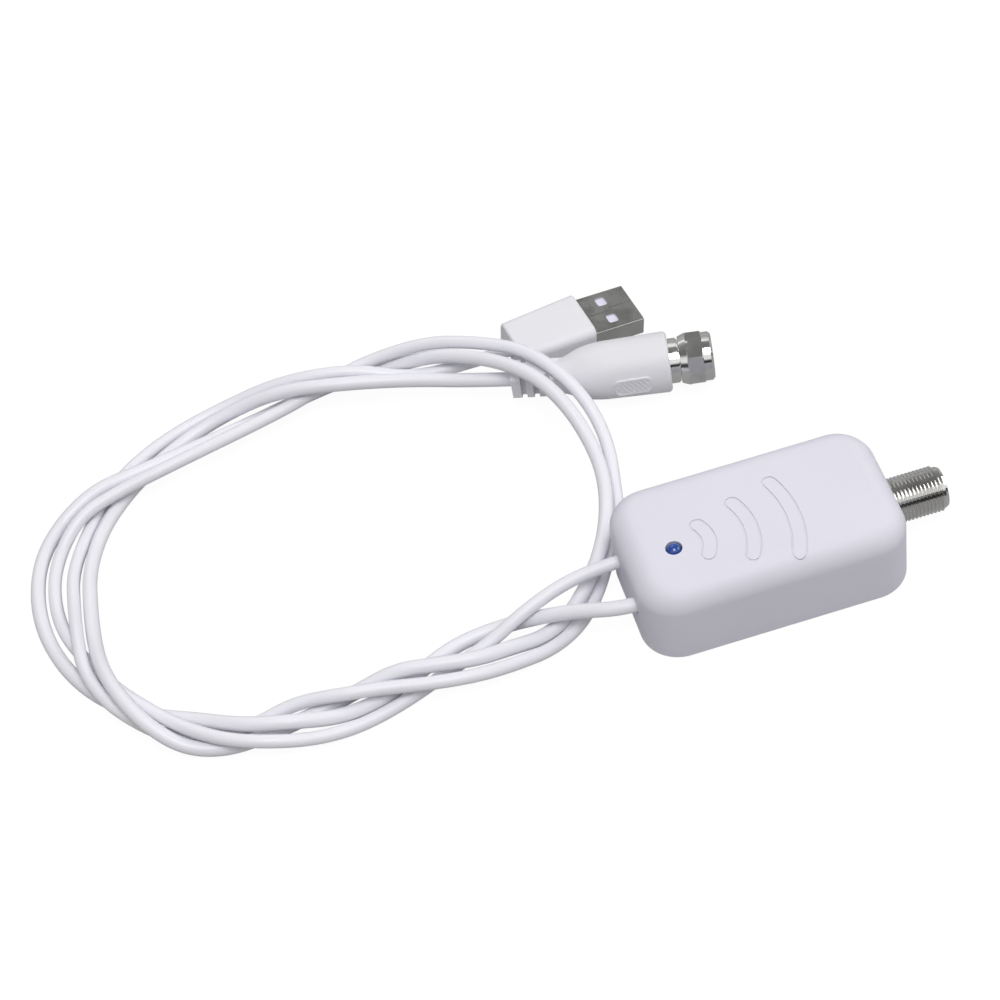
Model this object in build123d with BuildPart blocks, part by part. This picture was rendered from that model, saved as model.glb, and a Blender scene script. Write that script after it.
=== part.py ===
"""Television aerial signal amplifier: a small rounded case with a threaded aerial socket
and a lamp, a captive power lead with a flat power plug, and a captive coaxial lead with a
screw-on aerial plug. Millimetres, +Z up, +X along the case towards the aerial socket, and
the origin at the middle of the case's underside."""
from build123d import *
from math import cos, pi, radians, sin
import os

# Case
case_length = 55.6
case_width = 32.0
case_height = 18.4
case_corner = 8.0
case_top_round = 4.9
wall = 1.6
seam_height = 0.9
foot_round = 0.6
cover_thickness = 1.8
cover_play = 0.15
play = 0.05
overrun = 1.0

# Lamp and the engraved signal arcs
lamp_diameter = 3.2
lamp_flange = 4.0
lamp_flange_height = 1.0
lamp_height = 5.3
lamp_proud = 0.6
lamp_hole_play = 0.12
lamp_x, lamp_y = -17.9, -3.0
lamp_leg = 0.5
lamp_pitch = 2.54
arc_radii = (7.1, 15.7, 24.5)
arc_reaches = ((31, 34), (25, 27), (21, 23.5))
arc_turn = -2.3
arc_band = 2.8
arc_line = 0.4
arc_depth = 0.3

# Case fasteners
boss_radius = 2.6
boss_top = 15.0
boss_left_x, boss_right_x = -12.0, 20.6
boss_in = 3.7
screw_shank = 1.7
screw_depth = 7.0
screw_head = 3.6
screw_head_height = 0.8
screw_sink = 0.3
screw_slot = 0.5

# Circuit board
board_length = 40.0
board_play = 7.0
board_thickness = 1.2
board_rise = 3.0
board_x = -1.4
post_radius = 2.2
post_x = 13.6
post_in = 4.3
board_screw_head = 3.4
board_screw_hold = 0.6

# Board components
shield_x, shield_y = 2.0, 0.0
shield_length, shield_width, shield_height = 15.0, 14.0, 4.4
shield_corner = 1.0
shield_sheet = 0.35
shield_hole = 1.2
shield_hole_pitch = 3.6
shield_holes = 3
chip_length, chip_width, chip_height = 4.5, 2.5, 1.5
regulator_x, regulator_y = -9.0, -4.0
regulator_length, regulator_width, regulator_height = 3.5, 6.5, 1.6
small_length, small_width, small_height = 2.0, 1.25, 0.9
resistor_height = 0.5
small_in = 1.6
shielded_left_x, shielded_right_x, shielded_y = -2.2, 6.2, 3.4
divider_x, divider_high_y, divider_low_y = 12.5, 0.4, -1.8
edge_capacitor_x, edge_resistor_x, edge_resistor_far_x = -6.4, -5.0, 1.0
can_x, can_y, can_radius, can_height = -10.0, 4.0, 2.5, 7.0
can_round = 0.5
choke_x, choke_y, choke_radius, choke_height = 13.4, 5.4, 2.7, 3.4
choke_flange = 0.6
choke_waist = 1.2

# Aerial socket
socket_height = 8.6
thread_diameter = 9.5
thread_pitch = 0.794
thread_depth = 0.45
socket_reach = 11.3
socket_block_width = 11.0
socket_block_height = 8.4
socket_block_length = 6.0
socket_bore = 6.3
socket_recess = 1.4
socket_end_chamfer = 0.7
contact_diameter = 1.6
contact_bore = 1.0
contact_bore_depth = 6.0
contact_rod = 0.8
contact_tail = 3.4
contact_wall = 0.8
socket_leg = 2.6
socket_leg_width = 1.2
socket_leg_height = 1.0

# Leads and how they enter the case
usb_cord_diameter = 2.8
coax_diameter = 3.1
cord_height = 9.2
usb_exit_y, coax_exit_y = 5.0, -6.9
cord_inner_x = -21.0
exit_play = 0.15
bend_share = 0.45
gap_step = 1.5
gap_apart = 9.0
clamp_x = -23.4
clamp_thickness = 2.0
clamp_low_edge, clamp_high_edge = 3.7, 3.8
clamp_rise = 3.2
clamp_screw_y = -1.0
clamp_screw_shank = 1.2
clamp_screw_head = 2.0
tail_apart = 1.3
tail_reach = 2.6
tail_bend = 0.7
power_wire = 1.0
core_wire = 0.6
braid_wire = 0.8
braid_off = 0.95

# Power plug
usb_yaw = 8.6
usb_pitch = 7.4
usb_x, usb_y = -14.38, 75.34
usb_shell_length = 11.7
usb_shell_inside = 5.0
usb_shell_width = 12.0
usb_shell_height = 4.5
usb_sheet = 0.3
usb_corner = 0.5
usb_window_length, usb_window_width = 2.3, 2.6
usb_window_in = 5.4
usb_window_off = 2.9
usb_seam = 0.12
usb_tongue_height = 1.9
usb_tongue_recess = 0.5
usb_boot_length = 17.6
usb_boot_width, usb_boot_height = 13.8, 8.1
usb_boot_rear_width, usb_boot_rear_height = 12.4, 6.6
usb_boot_rear_drop = 0.75
usb_boot_round = 1.9
usb_boot_end_round = 0.6
usb_window_round = 0.6
usb_seam_depth = 0.15
usb_seam_jog = 0.45
usb_contact_length, usb_contact_width = 7.5, 1.0
usb_contact_thickness = 0.25
usb_contact_pitch = 2.5
usb_contact_count = 4

# Aerial plug
f_yaw = -11.5
f_x, f_y = -1.0, 55.0
f_height = 6.95
f_boot_length = 34.0
f_boot_radius = 6.6
relief_side = 6.2
relief_length = 9.6
relief_slots = 3
relief_slot = 1.15
relief_slot_in = 2.0
relief_slot_depth = 1.3
grip_length, grip_width = 8.0, 3.9
grip_in = 8.3
grip_turn = -8
grip_pads = 4
sleeve_radius = 4.85
sleeve_length = 2.1
sleeve_inside = 6.0
nut_flats = 11.0
nut_sides = 6
nut_flange_radius = 5.6
nut_back = 0.5
nut_cone_length = 1.5
nut_hex_length = 3.5
nut_collar_length = 2.1
nut_collar_radius = 5.25
nut_play = 0.2
post_bore = 4.6
post_outer = 6.2
pin_radius = 0.4
pin_back = 0.8
post_flange = 0.8
post_flange_radius = 4.1
nut_back_gap = 0.15
nut_bore = 8.7
nut_cone_radius = 5.0
nut_chamfer = 0.35
nut_rest_turn = 12
sleeve_groove = 0.3
relief_yaw = -18.0
relief_round = 0.7
relief_slot_pitch = 2.65
neck_radius = 3.4
neck_blend = 1.6
neck_slope = 0.25
f_boot_round = 0.9
f_boot_taper_at, f_boot_mid_radius = -14.0, 6.3
f_boot_taper_slope = 0.05
f_boot_shoulder_at, f_boot_shoulder_radius = -19.5, 5.3
grip_round = 1.2
grip_floor = 5.0
grip_top = 6.7
grip_rim = 0.45
grip_groove = 0.2
grip_rib = 0.45
grip_rib_pitch = 1.05
grip_ribs = 7
grip_rib_lean = -35

# The power lead's route, from inside the case to the back of the power plug
usb_route = [
    (-21, 5, 9.2), (-30, 5, 9.2), (-39.5, 4, 8.8), (-49, 1, 7.4), (-57, -1.5, 4.2),
    (-66, -3.2, 1.6), (-76, -7.3, 1.5), (-86, -10, 1.5), (-95, -10.6, 2.4), (-104, -10, 5),
    (-113, -6.2, 5.2), (-121, 0.5, 5), (-128, 9, 5.2), (-132.3, 16.5, 3.5), (-136.6, 26, 1.5),
    (-140.2, 36, 1.5), (-140.2, 47, 1.5), (-137.2, 56, 1.9), (-130.8, 62.2, 4.9),
    (-121.5, 65.3, 5.3), (-111.5, 66.4, 6.8), (-101.5, 69, 6.6), (-91, 72.8, 5.2),
    (-79.5, 76.2, 4.8), (-67, 80.6, 5.5), (-57.3, 79.4, 8.3), (-48, 77, 10.4), (-38.8, 71.8, 11.6),
    (-30.1, 65.4, 12.4), (-24.4, 56.4, 11.5), (-20.7, 48.3, 8.2), (-19.6, 40, 4.1), (-21, 32, 1.6),
    (-23, 22, 1.5), (-28.6, 12, 1.5), (-33, 4.5, 1.5), (-38.6, -2, 1.5), (-45.2, -5.5, 1.6),
    (-52, -7.2, 2.7), (-61, -8.7, 4.5), (-71, -7.8, 5.4), (-80, -5.6, 5.5), (-88, -4.6, 6),
    (-97.5, -1.6, 3.9), (-106, -2.2, 1.5), (-115, -2.3, 1.5), (-123, 0.7, 1.5), (-129, 5.8, 2.9),
    (-134.2, 12, 5.1), (-137, 21, 5.4), (-136.8, 31, 4.7), (-136.5, 41, 2), (-135.5, 49.5, 1.5),
    (-131.5, 58, 1.5), (-126.5, 66, 1.5), (-120.5, 73, 1.5), (-112, 78.5, 1.5), (-103, 82, 1.6),
    (-94, 83, 3), (-85, 82, 6), (-75.5, 79.3, 8.6), (-65, 76.9, 8.4), (-54.5, 73.7, 4.8),
    (-43.2, 71.9, 5.9), (-31.85, 72.7, 5.5),
]

# The coaxial lead's route, from inside the case to the back of the aerial plug
coax_route = [
    (-21, -6.9, 9.2), (-30, -6.9, 9.2), (-38.5, -3, 7.8), (-46, 0.5, 5), (-54, 3.5, 1.7),
    (-64, 2.4, 1.6), (-73, -2, 1.6), (-81.5, -5.7, 1.6), (-90, -7.5, 2.9), (-98.5, -7.4, 5.8),
    (-108, -4.7, 5.6), (-117, 1.6, 3.5), (-126, 7.3, 1.6), (-134, 13.8, 1.6), (-140, 23, 1.6),
    (-143.5, 34, 1.6), (-144, 45, 1.6), (-141.5, 56, 1.6), (-135, 63.6, 3), (-126.5, 68, 4.9),
    (-117, 69, 5.3), (-107, 70.8, 5.2), (-97, 74.4, 3.2), (-86.5, 78, 1.6), (-75, 81, 1.6),
    (-65, 81, 2.6), (-56, 78, 5.4), (-48.5, 74.2, 8.9), (-41, 68.8, 11), (-34.5, 62, 12.8),
    (-29.3, 55, 13), (-25.3, 46.9, 10.3), (-23.1, 38.6, 6), (-23.3, 30, 4.6), (-25.8, 20.5, 4.7),
    (-29.8, 12, 4.7), (-34.7, 5.2, 4.4), (-40, 0.3, 2.9), (-46.2, -2.4, 1.8), (-53, -3.9, 3.8),
    (-60.5, -5.8, 6), (-69, -4.2, 6.1), (-77, -2.4, 5.6), (-85.5, -2.2, 2.2), (-94, -3.9, 1.6),
    (-104, -5.6, 1.6), (-113, -6.1, 1.6), (-121, -3.6, 2.8), (-127, 2, 6.4), (-131, 10, 8),
    (-133.2, 19.5, 6.4), (-133.8, 29, 3.2), (-133.4, 38.5, 1.6), (-132, 49, 1.6),
    (-127.3, 59.5, 1.6), (-120.3, 67.5, 1.6), (-112, 74, 1.6), (-102.5, 79, 1.8),
    (-92.5, 79.6, 4.8), (-82.5, 77.8, 8), (-72, 74.8, 8.7), (-61, 72.8, 7.4), (-52, 70, 6.9),
    (-43, 66.1, 6.9), (-34.05, 62.85, 6.95),
]

# Places worked out from the sizes above
board_bottom = cover_thickness + board_rise
board_top = board_bottom + board_thickness
inner_end = case_length / 2 - wall
case_end = case_length / 2
boss_y = case_width / 2 - boss_in
boss_places = [(x, y) for x in (boss_left_x, boss_right_x) for y in (-boss_y, boss_y)]
board_width = case_width - board_play
post_y = board_width / 2 - post_in
post_places = [(board_x + x, y) for x in (-post_x, post_x) for y in (-post_y, post_y)]
board_screw_places = [(board_x - post_x, post_y), (board_x + post_x, -post_y)]
small_y = board_width / 2 - small_in
capacitor_places = [
    (shielded_left_x, shielded_y), (shielded_left_x, -shielded_y),
    (shielded_right_x, shielded_y), (shielded_right_x, -shielded_y),
    (edge_capacitor_x, -small_y),
]
resistor_places = [
    (divider_x, divider_high_y), (divider_x, divider_low_y),
    (edge_resistor_x, small_y), (edge_resistor_far_x, small_y),
]
clamp_low_y, clamp_high_y = coax_exit_y - clamp_low_edge, usb_exit_y + clamp_high_edge
lamp_bottom = case_height + lamp_proud - lamp_height
pilot_radius = screw_shank / 2 + play
usb_height = usb_boot_height / 2 * cos(radians(usb_pitch))
usb_level = Vector(-sin(radians(usb_yaw)), cos(radians(usb_yaw)), 0)
usb_ahead = Vector(
    cos(radians(usb_yaw)) * cos(radians(usb_pitch)),
    sin(radians(usb_yaw)) * cos(radians(usb_pitch)),
    -sin(radians(usb_pitch)))
usb_up = usb_ahead.cross(usb_level)
usb_place = Vector(usb_x, usb_y, usb_height)


def keep(builder, name):
    """Label a finished sub-part and write it to its own file."""
    builder.part.label = name
    export_step(builder.part, f"parts/{name}.step")


def outline(plane, points):
    """A flat closed face through the points, on the given plane."""
    with BuildSketch(plane) as face:
        with BuildLine():
            Polyline(*points, close=True)
        make_face()
    return face.sketch


def heading(yaw):
    """The level direction at an angle from +X."""
    return Vector(cos(radians(yaw)), sin(radians(yaw)), 0)


def beside(x, y, height, yaw):
    """The upright plane that holds a plug's axis: its X runs along the axis, its Y up."""
    ahead = heading(yaw)
    return Plane(origin=(x, y, height), x_dir=ahead, z_dir=(ahead.Y, -ahead.X, 0))


def across(x, y, height, yaw, distance=0.0):
    """The plane square to a plug's axis at a distance along it: its X is level, its Y up."""
    ahead = heading(yaw)
    place = Vector(x, y, height) + ahead * distance
    return Plane(origin=place, x_dir=(-ahead.Y, ahead.X, 0), z_dir=ahead)


def axis_of(x, y, height, yaw):
    return Axis((x, y, height), heading(yaw))


def usb_across(distance, rise=0.0):
    """The plane square to the power plug's axis: its X is level, its Y towards the plug's top."""
    return Plane(origin=usb_place + usb_ahead * distance + usb_up * rise, x_dir=usb_level, z_dir=usb_ahead)


def usb_flat(rise):
    """The plane along the power plug at a height over its axis: its X runs along the plug."""
    return Plane(origin=usb_place + usb_up * rise, x_dir=usb_ahead, z_dir=usb_up)


def bend_radii(points):
    """The radius of each corner: a share of the shorter run, over the tangent of half the turn."""
    radii = []
    for before, corner, after in zip(points, points[1:], points[2:]):
        one, two = Vector(corner) - Vector(before), Vector(after) - Vector(corner)
        half_turn = radians(one.get_angle(two)) / 2
        radii.append(bend_share * min(one.length, two.length) * cos(half_turn) / sin(half_turn))
    return radii


def least_gap(path, diameter):
    """The least gap between a cord's own turns, measured on points along its path."""
    count = int(path.length / gap_step)
    places = [path.position_at(i / count) for i in range(count + 1)]
    skip = int(gap_apart * diameter / gap_step)
    gaps = [
        (places[i] - places[j]).length
        for i in range(count + 1)
        for j in range(i + skip, count + 1)
    ]
    return min(gaps) - diameter


def lead(points, diameter, name):
    """A round cord along its route: straight runs joined by tangent arcs."""
    radii = bend_radii(points)
    with BuildPart() as cord:
        with BuildLine() as line:
            FilletPolyline(*points, radius=radii)
        path = line.wires()[0]
        with BuildSketch(Plane(origin=path @ 0, z_dir=path % 0)):
            Circle(diameter / 2)
        sweep(path=path)
    ideal = pi * diameter**2 / 4 * path.length
    print(f"{name}: length {path.length:.1f}, least radius {min(radii):.1f}")
    print(f"{name}: radii", " ".join(f"{radius:.0f}" for radius in radii))
    print(f"{name}: volume {cord.part.volume:.1f}, section times length {ideal:.1f}")
    print(f"{name}: least gap to itself {least_gap(path, diameter):.2f}")
    keep(cord, name)


def wire_along(points, radius, bend):
    """A bent wire: a round section along runs joined by arcs of one radius."""
    with BuildPart() as wire:
        with BuildLine() as line:
            FilletPolyline(*points, radius=bend)
        path = line.wires()[0]
        with BuildSketch(Plane(origin=path @ 0, z_dir=path % 0)):
            Circle(radius)
        sweep(path=path)
    return wire.part


def make_engraving():
    """The thin grooves of the signal arcs, one even depth under the flat top and its rounding."""
    with BuildPart() as inset_block:
        with BuildSketch(Plane.XY.offset(seam_height)):
            RectangleRounded(
                case_length - 2 * arc_depth, case_width - 2 * arc_depth, case_corner - arc_depth)
        extrude(amount=case_height - arc_depth - seam_height)
        fillet(inset_block.faces().sort_by(Axis.Z)[-1].edges(), case_top_round - arc_depth)
    with BuildPart() as engraving:
        with BuildSketch(Plane.XY.offset(case_height - case_top_round)):
            for radius, (low, high) in zip(arc_radii, arc_reaches):
                with BuildLine(mode=Mode.PRIVATE) as middle:
                    CenterArc((lamp_x, lamp_y), radius, arc_turn - low, low + high)
                SlotArc(middle.wires()[0], arc_band + arc_line)
                SlotArc(middle.wires()[0], arc_band - arc_line, mode=Mode.SUBTRACT)
        extrude(amount=case_top_round + overrun)
        add(inset_block.part, mode=Mode.SUBTRACT)
    return engraving.part


def make_top_shell():
    engraving = make_engraving()
    exit_axis = Plane.YZ.offset(-case_end - overrun)
    socket_axis = Plane.YZ.offset(inner_end - overrun)
    with BuildPart() as top_shell:
        with BuildSketch(Plane.XY.offset(seam_height)):
            RectangleRounded(case_length, case_width, case_corner)
        extrude(amount=case_height - seam_height)
        fillet(top_shell.faces().sort_by(Axis.Z)[-1].edges(), case_top_round)
        offset(amount=-wall, openings=top_shell.faces().sort_by(Axis.Z)[0])
        with BuildSketch(Plane.XY.offset(cover_thickness)):
            with Locations(*boss_places):
                Circle(boss_radius)
        extrude(amount=boss_top - cover_thickness)
        with BuildSketch(Plane.XY.offset(cover_thickness)):
            with Locations(*boss_places):
                Circle(pilot_radius)
        extrude(amount=screw_depth, mode=Mode.SUBTRACT)
        with BuildSketch(exit_axis):
            with Locations((usb_exit_y, cord_height)):
                Circle(usb_cord_diameter / 2 + exit_play)
            with Locations((coax_exit_y, cord_height)):
                Circle(coax_diameter / 2 + exit_play)
        extrude(amount=wall + 2 * overrun, mode=Mode.SUBTRACT)
        with BuildSketch(socket_axis):
            with Locations((0, socket_height)):
                Circle(thread_diameter / 2 + exit_play)
        extrude(amount=wall + 2 * overrun, mode=Mode.SUBTRACT)
        with BuildSketch(Plane.XY.offset(case_height - wall - overrun)):
            with Locations((lamp_x, lamp_y)):
                Circle(lamp_diameter / 2 + lamp_hole_play)
        extrude(amount=wall + 2 * overrun, mode=Mode.SUBTRACT)
        add(engraving, mode=Mode.SUBTRACT)
    keep(top_shell, "top_shell")


def make_bottom_cover():
    inner_length, inner_width = case_length - 2 * wall, case_width - 2 * wall
    inner_corner = case_corner - wall
    saddle_middle = (clamp_low_y + clamp_high_y) / 2
    saddle_width = clamp_high_y - clamp_low_y
    with BuildPart() as bottom_cover:
        with BuildSketch():
            RectangleRounded(case_length, case_width, case_corner)
        extrude(amount=seam_height)
        fillet(bottom_cover.faces().sort_by(Axis.Z)[0].edges(), foot_round)
        with BuildSketch(Plane.XY.offset(seam_height)):
            RectangleRounded(
                inner_length - 2 * cover_play,
                inner_width - 2 * cover_play,
                inner_corner - cover_play,
            )
        extrude(amount=cover_thickness - seam_height)
        with BuildSketch(Plane.XY.offset(cover_thickness)):
            with Locations(*post_places):
                Circle(post_radius)
            with Locations((clamp_x, saddle_middle)):
                Rectangle(clamp_thickness, saddle_width)
        extrude(amount=board_rise)
        with BuildSketch(Plane.XY.offset(board_bottom)):
            with Locations((clamp_x, saddle_middle)):
                Rectangle(clamp_thickness, saddle_width)
        extrude(amount=cord_height - board_bottom)
        with BuildSketch(Plane.YZ.offset(clamp_x - clamp_thickness)):
            with Locations((usb_exit_y, cord_height)):
                Circle(usb_cord_diameter / 2 + play)
            with Locations((coax_exit_y, cord_height)):
                Circle(coax_diameter / 2 + play)
        extrude(amount=2 * clamp_thickness, mode=Mode.SUBTRACT)
        with BuildSketch(Plane.XY.offset(cord_height - screw_depth + clamp_rise)):
            with Locations((clamp_x, clamp_screw_y)):
                Circle(clamp_screw_shank / 2 + play)
        extrude(amount=screw_depth, mode=Mode.SUBTRACT)
        with BuildSketch(Plane.XY.offset(cover_thickness - board_screw_hold)):
            with Locations(*board_screw_places):
                Circle(pilot_radius)
        extrude(amount=board_screw_hold + board_rise, mode=Mode.SUBTRACT)
        with BuildSketch():
            with Locations(*boss_places):
                Circle(screw_head / 2 + cover_play)
        extrude(amount=screw_head_height + screw_sink, mode=Mode.SUBTRACT)
        with BuildSketch():
            with Locations(*boss_places):
                Circle(pilot_radius)
        extrude(amount=cover_thickness, mode=Mode.SUBTRACT)
    keep(bottom_cover, "bottom_cover")


def make_screw(places, base, head_diameter, head_height, shank, length, upward):
    """Slotted pan screws at the places: each head stands on the base height."""
    way = 1 if upward else -1
    with BuildPart() as screws:
        with BuildSketch(Plane.XY.offset(base)):
            with Locations(*places):
                Circle(head_diameter / 2)
        extrude(amount=-way * head_height)
        with BuildSketch(Plane.XY.offset(base - way * head_height)):
            with Locations(*places):
                Rectangle(head_diameter, screw_slot)
        extrude(amount=way * head_height / 2, mode=Mode.SUBTRACT)
        with BuildSketch(Plane.XY.offset(base)):
            with Locations(*places):
                Circle(shank / 2)
        extrude(amount=way * length)
    return screws


def make_screws():
    case_screws = make_screw(
        boss_places, screw_sink + screw_head_height, screw_head, screw_head_height,
        screw_shank, screw_depth, True)
    keep(case_screws, "case_screws")
    board_screws = make_screw(
        board_screw_places, board_top, board_screw_head, screw_head_height,
        screw_shank, board_thickness + board_rise, False)
    keep(board_screws, "board_screws")
    clamp_screw = make_screw(
        [(clamp_x, clamp_screw_y)], cord_height + clamp_rise, clamp_screw_head,
        screw_head_height, clamp_screw_shank, screw_depth - 2 * play, False)
    keep(clamp_screw, "clamp_screw")


def make_circuit_board():
    with BuildPart() as circuit_board:
        with BuildSketch(Plane.XY.offset(board_bottom)):
            with Locations((board_x, 0)):
                Rectangle(board_length, board_width)
            with Locations(*boss_places):
                Circle(boss_radius + 2 * cover_play, mode=Mode.SUBTRACT)
            with Locations(*board_screw_places):
                Circle(pilot_radius, mode=Mode.SUBTRACT)
        extrude(amount=board_thickness)
    keep(circuit_board, "circuit_board")


def make_lamp():
    radius = lamp_diameter / 2
    shoulder = lamp_height - radius
    with BuildPart() as status_lamp:
        with BuildSketch(Plane(origin=(lamp_x, lamp_y, lamp_bottom), x_dir=(1, 0, 0), z_dir=(0, -1, 0))):
            with BuildLine():
                Polyline(
                    (0, lamp_height), (0, 0), (lamp_flange / 2, 0),
                    (lamp_flange / 2, lamp_flange_height), (radius, lamp_flange_height),
                    (radius, shoulder))
                CenterArc((0, shoulder), radius, 0, 90)
            make_face()
        revolve(axis=Axis((lamp_x, lamp_y, 0), (0, 0, 1)))
    keep(status_lamp, "status_lamp")
    with BuildPart() as lamp_legs:
        with BuildSketch(Plane.XY.offset(board_top)):
            with Locations((lamp_x, lamp_y)):
                with GridLocations(lamp_pitch, lamp_pitch, 1, 2):
                    Rectangle(lamp_leg, lamp_leg)
        extrude(amount=lamp_bottom - board_top)
    keep(lamp_legs, "lamp_legs")


def make_box(plane, places, length, width, height):
    """Plain blocks of one size, standing on a plane."""
    with BuildPart() as blocks:
        with BuildSketch(plane):
            with Locations(*places):
                Rectangle(length, width)
        extrude(amount=height)
    return blocks


def make_components():
    board = Plane.XY.offset(board_top)
    with BuildPart() as shield_can:
        with BuildSketch(board):
            with Locations((shield_x, shield_y)):
                RectangleRounded(shield_length, shield_width, shield_corner)
        extrude(amount=shield_height)
        offset(amount=-shield_sheet, openings=shield_can.faces().sort_by(Axis.Z)[0])
        with BuildSketch(Plane.XY.offset(board_top + shield_height - shield_sheet)):
            with Locations((shield_x, shield_y)):
                with GridLocations(shield_hole_pitch, shield_hole_pitch, shield_holes, shield_holes):
                    Circle(shield_hole / 2)
        extrude(amount=shield_sheet, mode=Mode.SUBTRACT)
    keep(shield_can, "shield_can")
    keep(make_box(board, [(shield_x, shield_y)], chip_length, chip_width, chip_height), "amplifier_chip")
    keep(make_box(board, [(regulator_x, regulator_y)], regulator_length, regulator_width,
                  regulator_height), "voltage_regulator")
    keep(make_box(board, capacitor_places, small_length, small_width, small_height), "chip_capacitors")
    keep(make_box(board, resistor_places, small_length, small_width, resistor_height), "chip_resistors")
    with BuildPart() as electrolytic_capacitor:
        with BuildSketch(board):
            with Locations((can_x, can_y)):
                Circle(can_radius)
        extrude(amount=can_height)
        fillet(electrolytic_capacitor.edges().sort_by(Axis.Z)[-1], can_round)
    keep(electrolytic_capacitor, "electrolytic_capacitor")
    choke_plane = Plane(origin=(choke_x, choke_y, board_top), x_dir=(1, 0, 0), z_dir=(0, -1, 0))
    choke_axis = Axis((choke_x, choke_y, 0), (0, 0, 1))
    upper = choke_height - choke_flange
    with BuildPart() as choke_core:
        revolve(outline(choke_plane, [
            (0, 0), (choke_radius, 0), (choke_radius, choke_flange), (choke_waist, choke_flange),
            (choke_waist, upper), (choke_radius, upper), (choke_radius, choke_height),
            (0, choke_height)]), axis=choke_axis)
    keep(choke_core, "choke_core")
    with BuildPart() as choke_winding:
        revolve(outline(choke_plane, [
            (choke_waist + play, choke_flange + play), (choke_radius - choke_flange, choke_flange + play),
            (choke_radius - choke_flange, upper - play), (choke_waist + play, upper - play)]),
            axis=choke_axis)
    keep(choke_winding, "choke_winding")


def make_socket():
    side = Plane(origin=(0, 0, socket_height), x_dir=(1, 0, 0), z_dir=(0, -1, 0))
    axis = Axis((0, 0, socket_height), (1, 0, 0))
    radius, root = thread_diameter / 2, thread_diameter / 2 - thread_depth
    front = case_end + socket_reach
    back = inner_end - socket_block_length
    first = case_end + thread_pitch
    count = int((front - socket_end_chamfer - first) / thread_pitch)
    teeth = []
    for turn in range(count):
        start = first + turn * thread_pitch
        teeth.append((start, radius))
        teeth.append((start + thread_pitch / 2, root))
    end = first + count * thread_pitch
    profile = [(inner_end, 0), (inner_end, radius)] + teeth + [
        (end, radius), (front, radius - socket_end_chamfer), (front, 0)]
    with BuildPart() as aerial_socket:
        revolve(outline(side, profile), axis=axis)
        with BuildSketch(Plane.YZ.offset(back)):
            with Locations((0, socket_height)):
                Rectangle(socket_block_width, socket_block_height)
        extrude(amount=socket_block_length)
        with BuildSketch(Plane.YZ.offset(back)):
            with Locations((0, socket_height)):
                Circle(socket_bore / 2)
        extrude(amount=front - back, mode=Mode.SUBTRACT)
        with BuildSketch(Plane.XY.offset(board_top)):
            with Locations((back - socket_leg / 2, 0)):
                with GridLocations(socket_leg, socket_block_width - socket_leg_width, 1, 2):
                    Rectangle(socket_leg, socket_leg_width)
        extrude(amount=socket_leg_height)
    keep(aerial_socket, "aerial_socket")
    nose = front - socket_recess
    with BuildPart() as socket_insulator:
        revolve(outline(side, [
            (back, contact_rod / 2 + play), (back, socket_bore / 2 - play),
            (nose, socket_bore / 2 - play), (nose, contact_diameter / 2 + play),
            (nose - contact_bore_depth - contact_wall, contact_diameter / 2 + play),
            (nose - contact_bore_depth - contact_wall, contact_rod / 2 + play)]), axis=axis)
    keep(socket_insulator, "socket_insulator")
    inner = nose - contact_bore_depth
    with BuildPart() as socket_contact:
        revolve(outline(side, [
            (back - contact_tail, 0), (back - contact_tail, contact_rod / 2),
            (inner - contact_wall + play, contact_rod / 2),
            (inner - contact_wall + play, contact_diameter / 2),
            (nose - play, contact_diameter / 2), (nose - play, contact_bore / 2),
            (inner, contact_bore / 2), (inner, 0)]), axis=axis)
        with BuildSketch(Plane.XY.offset(board_top)):
            with Locations((back - contact_tail + contact_rod / 2, 0)):
                Circle(contact_rod / 2)
        extrude(amount=socket_height - board_top)
    keep(socket_contact, "socket_contact")


def make_clamp():
    saddle_middle = (clamp_low_y + clamp_high_y) / 2
    with BuildPart() as cord_clamp:
        with BuildSketch(Plane.XY.offset(cord_height)):
            with Locations((clamp_x, saddle_middle)):
                Rectangle(clamp_thickness, clamp_high_y - clamp_low_y)
        extrude(amount=clamp_rise)
        with BuildSketch(Plane.YZ.offset(clamp_x - clamp_thickness)):
            with Locations((usb_exit_y, cord_height)):
                Circle(usb_cord_diameter / 2 + play)
            with Locations((coax_exit_y, cord_height)):
                Circle(coax_diameter / 2 + play)
        extrude(amount=2 * clamp_thickness, mode=Mode.SUBTRACT)
        with BuildSketch(Plane.XY.offset(cord_height)):
            with Locations((clamp_x, clamp_screw_y)):
                Circle(clamp_screw_shank / 2 + play)
        extrude(amount=clamp_rise, mode=Mode.SUBTRACT)
    keep(cord_clamp, "cord_clamp")


def make_tails():
    """The wires that leave the cords' inner ends and reach the circuit board."""
    red, black = usb_exit_y + tail_apart / 2, usb_exit_y - tail_apart / 2
    reach = cord_inner_x + tail_reach
    with BuildPart() as power_wires:
        for y in (red, black):
            add(wire_along([(cord_inner_x, y, cord_height), (reach, y, cord_height),
                            (reach, y, board_top)], power_wire / 2, tail_bend))
    keep(power_wires, "power_wires")
    near = cord_inner_x + tail_bend + core_wire
    with BuildPart() as coax_core_tail:
        add(wire_along([(cord_inner_x, coax_exit_y, cord_height), (near, coax_exit_y, cord_height),
                        (near, coax_exit_y, board_top)], core_wire / 2, tail_bend))
    keep(coax_core_tail, "coax_core_tail")
    side = coax_exit_y + braid_off
    with BuildPart() as coax_braid_tail:
        add(wire_along([(cord_inner_x, side, cord_height), (reach, side, cord_height),
                        (reach, side, board_top)], braid_wire / 2, tail_bend))
    keep(coax_braid_tail, "coax_braid_tail")


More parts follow.
